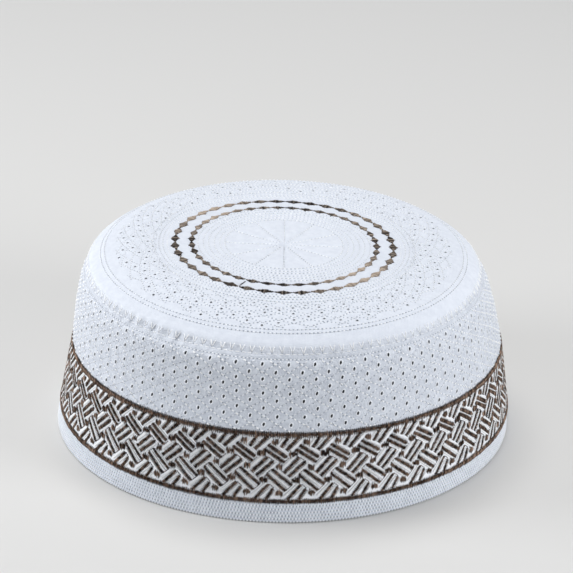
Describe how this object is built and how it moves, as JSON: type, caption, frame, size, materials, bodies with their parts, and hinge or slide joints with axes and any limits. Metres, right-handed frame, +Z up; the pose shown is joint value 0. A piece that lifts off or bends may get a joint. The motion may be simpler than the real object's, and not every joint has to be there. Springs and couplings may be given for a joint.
{
  "type": "kufi cap",
  "caption": "Brimless round cloth cap with a flat crown, a quilted side wall and a wide embroidered band, standing on its rim.",
  "frame": {"origin": "centre of the lower edge, on the surface that the cap rests on", "axes": "+Z up through the crown; the side usually seen faces -Y"},
  "size_m": [0.184, 0.184, 0.078],
  "materials": {
    "white_cotton": "matt quilted cotton, bluish white",
    "embroidered_cloth": "white and brown satin stitch on cotton",
    "white_thread": "softly shining white thread",
    "brown_thread": "softly shining dark brown thread"
  },
  "bodies": {
    "root": {"hem": "white_cotton", "embroidered_band": "embroidered_cloth", "side_wall": "white_cotton", "crown_top": "white_cotton"}
  },
  "joints": []
}
